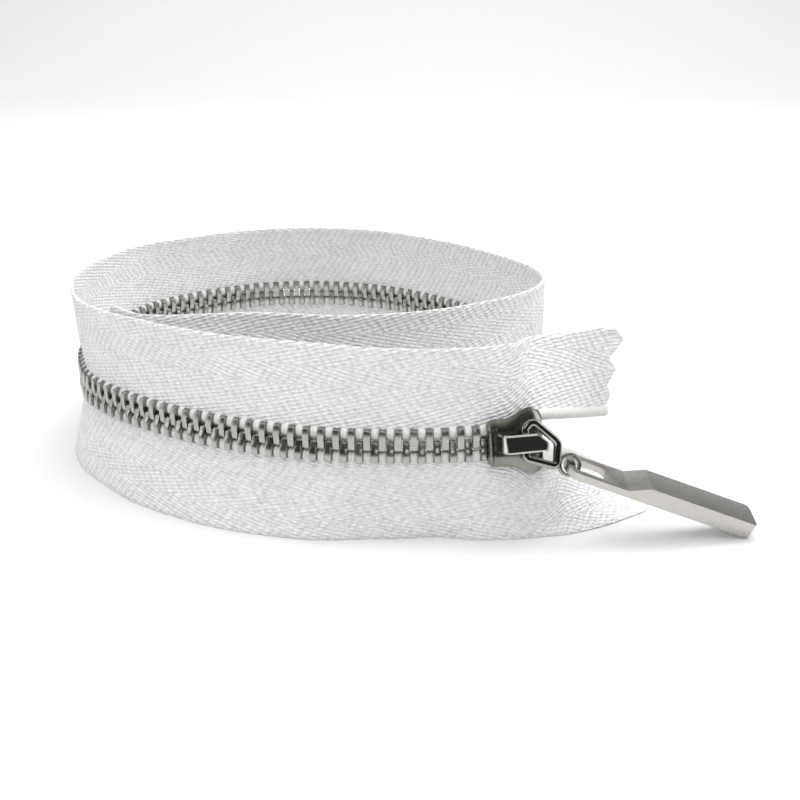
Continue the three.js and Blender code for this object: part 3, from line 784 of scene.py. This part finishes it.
front = shell("slider_front_blade", 1)
back = shell("slider_back_blade", -1)
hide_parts("slider_body")


def prism(name, outline, w0, w1, mat, chamfer, body="slider", segments=3, angle=30, frame_of=local):
    n = len(outline)
    pts = [(a, b, w0) for a, b in outline] + [(a, b, w1) for a, b in outline]
    faces = [tuple(range(n))[::-1], tuple(range(n, 2 * n))] + [(i, (i + 1) % n, (i + 1) % n + n, i + n) for i in range(n)]
    o = make(name, frame_of(np.array(pts, float)), faces, smooth_angle=None)
    bevel(o, chamfer * MM, segments, angle)
    apply_modifiers(o)
    shade(o, 38)
    o.data.materials.clear()
    o.data.materials.append(mat)
    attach(o, body)
    return o


divider = prism("slider_divider", [(-0.1, 0), (0.9, -0.95), (3.3, -0.95), (3.5, -0.5), (3.5, 0.5), (3.3, 0.95), (0.9, 0.95)], -1.9, 1.9, slider_mat, 0.2)


def crown_loft():
    """A bridge: a foot, a flat-topped bar with bright chamfers, and a nose that turns down over the ring."""
    path = [(-3.05, 2.45, 0.95), (-3.08, 3.4, 0.95), (-3.1, 4.1, 0.95), (-3.02, 4.65, 0.93), (-2.75, 5.06, 0.9), (-2.3, 5.25, 0.9),
            (-1.4, 5.3, 0.9), (-0.4, 5.3, 0.9), (0.8, 5.3, 0.9), (1.9, 5.3, 0.9), (2.9, 5.29, 0.9), (3.5, 5.25, 0.86),
            (3.85, 5.18, 0.76), (4.08, 5.08, 0.5)]
    q = np.array([catmull([tuple(r) for r in path], x) for x in np.linspace(0, 1, 52)])
    rings = []
    for i, (u, w, th) in enumerate(q):
        a, b = q[max(i - 1, 0)], q[min(i + 1, len(q) - 1)]
        d = np.array([b[0] - a[0], b[1] - a[1]])
        d /= np.linalg.norm(d)
        nrm = np.array([-d[1], d[0]])                 # outwards
        h = th / 2
        lo = -np.interp(u, [-3.6, -3.3, 3.7, 4.15], [1.42, 1.55, 1.5, 1.15])
        hi = np.interp(u, [-3.6, -3.3, 2.1, 2.4, 3.45, 4.15], [1.42, 1.55, 1.55, 1.4, 0.45, -0.25])
        mid, hw = (lo + hi) / 2, (hi - lo) / 2
        c = min(0.32, hw * 0.5, h * 0.7)
        prof = [(hw, -h + 0.12), (hw, h - c), (hw - 0.04, h - c + 0.05), (hw - c + 0.03, h - 0.04), (hw - c, h),
                (0.35 * hw, h + 0.015), (0, h + 0.02), (-0.35 * hw, h + 0.015),
                (-hw + c, h), (-hw + c - 0.03, h - 0.04), (-hw + 0.04, h - c + 0.05), (-hw, h - c), (-hw, -h + 0.12), (-hw + 0.12, -h), (hw - 0.12, -h)]
        rings.append([(u + nrm[0] * y, mid + x, w + nrm[1] * y) for x, y in prof])
    o = loft("crown_bridge", local(np.array(rings)), smooth_angle=32)
    o.data.materials.append(crown_mat)
    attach(o, "slider")
    return o


crown = crown_loft()
foot = prism("crown_rear_foot", [(2.3, -0.8), (3.1, -0.8), (3.1, 0.8), (2.3, 0.8)], 2.2, 5.0, slider_mat, 0.15)
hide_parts("crown")


def rounded_loop(points, radii, steps=7):
    out = []
    n = len(points)
    P = [np.array(p, float) for p in points]
    for i, p in enumerate(P):
        a, b = P[i - 1], P[(i + 1) % n]
        da, db = (a - p) / np.linalg.norm(a - p), (b - p) / np.linalg.norm(b - p)
        half = math.acos(np.clip(np.dot(da, db), -1, 1)) / 2
        r = radii[i]
        d = r / math.tan(half)
        bis = (da + db) / np.linalg.norm(da + db)
        c = p + bis * r / math.sin(half)
        p0, p1 = p + da * d, p + db * d
        a0, a1 = math.atan2(*(p0 - c)[::-1]), math.atan2(*(p1 - c)[::-1])
        while a1 - a0 > math.pi:
            a1 -= 2 * math.pi
        while a1 - a0 < -math.pi:
            a1 += 2 * math.pi
        for k in range(steps + 1):
            t = a0 + (a1 - a0) * k / steps
            out.append(c + r * np.array([math.cos(t), math.sin(t)]))
    return np.array(out)


def band_loop(name, line, half_in, half_w, centre_w, mat, power=3.2, m=20, shift=(0.0, 0.0)):
    """A closed bar with a rounded-square section along a loop in the slider's u, v plane."""
    line = np.asarray(line) + np.array(shift)
    keep = [0]
    for i in range(1, len(line)):
        if np.linalg.norm(line[i] - line[keep[-1]]) > 0.08:
            keep.append(i)
    if np.linalg.norm(line[keep[-1]] - line[0]) < 0.08:
        keep.pop()
    line = line[keep]
    n = len(line)
    rings = []
    for i in range(n):
        t = line[(i + 1) % n] - line[i - 1]
        t /= np.linalg.norm(t)
        nn = np.array([t[1], -t[0]])
        ring = []
        for th in np.linspace(0, 2 * math.pi, m, endpoint=False) + 0.16:
            c, s_ = math.cos(th), math.sin(th)
            x = half_in * math.copysign(abs(c) ** (2 / power), c)
            y = half_w * math.copysign(abs(s_) ** (2 / power), s_)
            ring.append((line[i][0] + nn[0] * x, line[i][1] + nn[1] * x, centre_w + y))
        rings.append(ring)
    o = loft(name, local(np.array(rings)), close_n=True, smooth_angle=45)
    o.data.materials.append(mat)
    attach(o, "ring")
    return o


RING_LINE = rounded_loop([(0, -2.6), (5.2, -4.4), (5.6, -0.4), (1.3, 3.6), (0, 2.3)], [0.75, 0.7, 1.6, 1.1, 0.8])
ring = band_loop("pull_ring_loop", RING_LINE, 0.65, 0.65, RING_W, ring_mat, shift=(RING_U, 0))
circle = np.array([(EYE[0] + 1.75 * math.cos(a), EYE[1] + 1.75 * math.sin(a)) for a in np.linspace(0, 2 * math.pi, 40, endpoint=False)])
eye = band_loop("pull_ring_eye", circle, 0.30, 0.52, RING_W, ring_mat, power=2.6, m=16, shift=(RING_U, 0))
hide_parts("pull_ring")

# ------------------------------------------------------------------ puller
pivot = ORIGIN + U_AX * (RING_U + EYE[0]) + V_AX * EYE[1] + W_AX * RING_W
az, sl = math.radians(PULL_AZ), math.radians(PULL_SLOPE)
D_AX = np.array([math.cos(az) * math.cos(sl), math.sin(az) * math.cos(sl), -math.sin(sl)])
level = np.array([-math.sin(az), math.cos(az), 0.0])
S_AX = np.array(Matrix.Rotation(math.radians(PULL_ROLL), 3, Vector(D_AX)) @ Vector(level))
T_AX = np.cross(D_AX, S_AX)


def pull_local(p):
    p = np.asarray(p, float)
    return world(pivot + p[..., :1] * D_AX + p[..., 1:2] * S_AX + p[..., 2:3] * T_AX)


pull = copy_of("puller", "pull_bar")
bevel(pull, 0.42 * MM, 4, 25)
apply_modifiers(pull)
shade(pull, 35)
pull.data.materials.append(pull_mat)
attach(pull, "pull")
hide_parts("puller")

for node in ("lock_pin", "lock_spring"):
    o = frame["nodes"][node]
    o.data.materials.clear()
    o.data.materials.append(lock_mat)
    bevel(o, 0.05 * MM, 2, 30)

# ------------------------------------------------------------------ floor, light, camera
fm = Net("floor_paper")
tc = fm.new("ShaderNodeTexCoord")
grain = fm.noise(tc.outputs["Object"], 900.0, 3.0, 0.6)
fm.t.links.new(fm.ramp(grain, [(0.3, (0.655, 0.655, 0.66)), (0.7, (0.67, 0.67, 0.675))]), fm.bsdf.inputs["Base Color"])
fm.t.links.new(fm.map(grain, 0.3, 0.7, 0.6, 0.7), fm.bsdf.inputs["Roughness"])
fm.bsdf.inputs["Specular IOR Level"].default_value = 0.2
fm.bsdf.inputs["Emission Color"].default_value = (1, 1, 1, 1)
fm.bsdf.inputs["Emission Strength"].default_value = 0.07
n = 24
ys = np.concatenate([np.linspace(-1.6, 0.7, 6), 0.7 + 0.5 * np.sin(np.linspace(0, math.pi / 2, 14))[1:], [1.2, 1.2]])
zs = np.concatenate([np.zeros(6), 0.5 * (1 - np.cos(np.linspace(0, math.pi / 2, 14)))[1:], [0.9, 2.2]])
fv = []
for y, z_ in zip(ys, zs):
    fv += [(-2.4, y, z_ - 0.00002), (2.4, y, z_ - 0.00002)]
ff = [(2 * i, 2 * i + 1, 2 * i + 3, 2 * i + 2) for i in range(len(ys) - 1)]
floor = make("studio_sweep", fv, ff)
floor.data.materials.append(fm.mat)


def area(name, loc, target, size, power, colour=(1, 1, 1), size_y=None, spread=180):
    l = bpy.data.lights.new(name, "AREA")
    l.shape = "RECTANGLE" if size_y else "SQUARE"
    l.size = size
    if size_y:
        l.size_y = size_y
    l.energy = power
    l.color = colour
    l.spread = math.radians(spread)
    o = bpy.data.objects.new(name, l)
    scene.collection.objects.link(o)
    o.location = loc
    o.rotation_euler = (Vector(target) - Vector(loc)).to_track_quat("-Z", "Y").to_euler()
    return o


area("key_top", (0.20, 0.16, 0.80), (0, 0, 0), 0.8, 4.2)
key = scene.objects["key_top"]
key.visible_glossy = False
over = area("overhead_front", (0.05, -0.34, 0.85), (0, 0.03, 0), 0.7, 1.6)
over.visible_glossy = False
area("side_left", (-0.8, -0.3, 0.3), (0, 0, 0.01), 0.3, 0.45)
area("side_right", (0.8, -0.15, 0.42), (0, 0, 0.01), 0.4, 1.0)
area("front_low", (0.1, -0.9, 0.5), (0, 0, 0.01), 0.28, 0.5)
fill = area("front_fill", (-0.12, -0.66, 0.70), (0, 0.02, 0.02), 0.8, 3.4)
fill.visible_glossy = False
back_light = area("sweep_light", (0.0, 0.3, 1.1), (0.0, 1.1, 0.3), 0.9, 9.0)
back_light.visible_glossy = False

w = bpy.data.worlds.new("studio")
scene.world = w
w.use_nodes = True
nt = w.node_tree
nt.nodes.clear()
wo = nt.nodes.new("ShaderNodeOutputWorld")
bg = nt.nodes.new("ShaderNodeBackground")
nt.links.new(bg.outputs[0], wo.inputs[0])
tcw = nt.nodes.new("ShaderNodeTexCoord")
sep = nt.nodes.new("ShaderNodeSeparateXYZ")
nt.links.new(tcw.outputs["Generated"], sep.inputs[0])
# the studio is darker on the side where the photographer stands
rampw = nt.nodes.new("ShaderNodeMapRange")
rampw.inputs[1].default_value = -0.62
rampw.inputs[2].default_value = -0.12
rampw.inputs[3].default_value = 0.03
rampw.inputs[4].default_value = 0.80
nt.links.new(sep.outputs[1], rampw.inputs[0])
nt.links.new(rampw.outputs[0], bg.inputs[1])
bg.inputs[0].default_value = (1, 1, 1, 1)

cam = bpy.data.cameras.new("camera")
cam.sensor_width = 36
cam.lens = 49.5
cam.clip_start = 0.01
cam.clip_end = 20
co = bpy.data.objects.new("camera", cam)
scene.collection.objects.link(co)
co.location = (SHIFT[0] * MM, SHIFT[1] * MM, 0.0872)
co.rotation_euler = (math.radians(69.5), 0, 0)
scene.camera = co

scene.view_settings.view_transform = "Standard"
scene.view_settings.look = "None"
scene.view_settings.exposure = 0.0
scene.view_settings.gamma = 1.0

bpy.context.view_layer.update()
